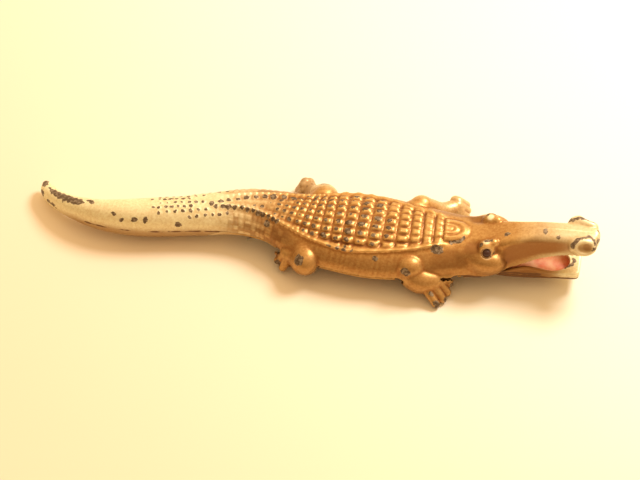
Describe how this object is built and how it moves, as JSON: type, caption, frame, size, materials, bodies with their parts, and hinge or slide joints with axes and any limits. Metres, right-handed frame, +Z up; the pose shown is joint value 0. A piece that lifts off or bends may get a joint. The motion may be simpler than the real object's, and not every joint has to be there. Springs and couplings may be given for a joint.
{
  "type": "alligator hair clip",
  "caption": "Hair clip shaped like an alligator: painted cast figure with a pinned lower jaw, and a sprung steel clip riveted under its belly.",
  "frame": {"origin": "bottom centre of the whole object's box, on the plane that the soles of its feet stand on", "axes": "+X from the tail towards the snout, +Y towards the animal's left side, +Z up through its back"},
  "size_m": [0.1222, 0.0308, 0.0162],
  "materials": {
    "gold_paint": "metallic copper-gold paint over cast metal, fading to cream on the tail and snout, chipped to dark grey metal",
    "jaw_paint": "cream and gold paint outside, red inside the mouth",
    "plated_steel": "nickel-plated stamped steel, satin",
    "spring_wire": "drawn steel wire"
  },
  "bodies": {
    "body": {"upper_casting": "gold_paint", "belly_casting": "gold_paint", "jaw_pin": "plated_steel", "grip_plate": "plated_steel", "clip_pivot_pin": "plated_steel", "torsion_spring": "spring_wire", "rivet_rear": "plated_steel", "rivet_middle": "plated_steel", "rivet_front": "plated_steel"},
    "jaw": {"lower_jaw": "jaw_paint"},
    "blade": {"moving_blade": "plated_steel"}
  },
  "joints": [
    {"name": "jaw_hinge", "type": "hinge", "parent": "body", "child": "jaw", "pos_m": [0.03671, -0.0017, 0.006], "axis": [0, 1, 0], "range_deg": [-5, 5]},
    {"name": "clip_hinge", "type": "hinge", "parent": "body", "child": "blade", "pos_m": [0.00051, -0.0017, 0.003], "axis": [0, 1, 0], "range_deg": [0, 15], "stiffness_Nm_per_rad": 0.08, "springref_deg": -28.65, "deforming": ["torsion_spring"]}
  ]
}
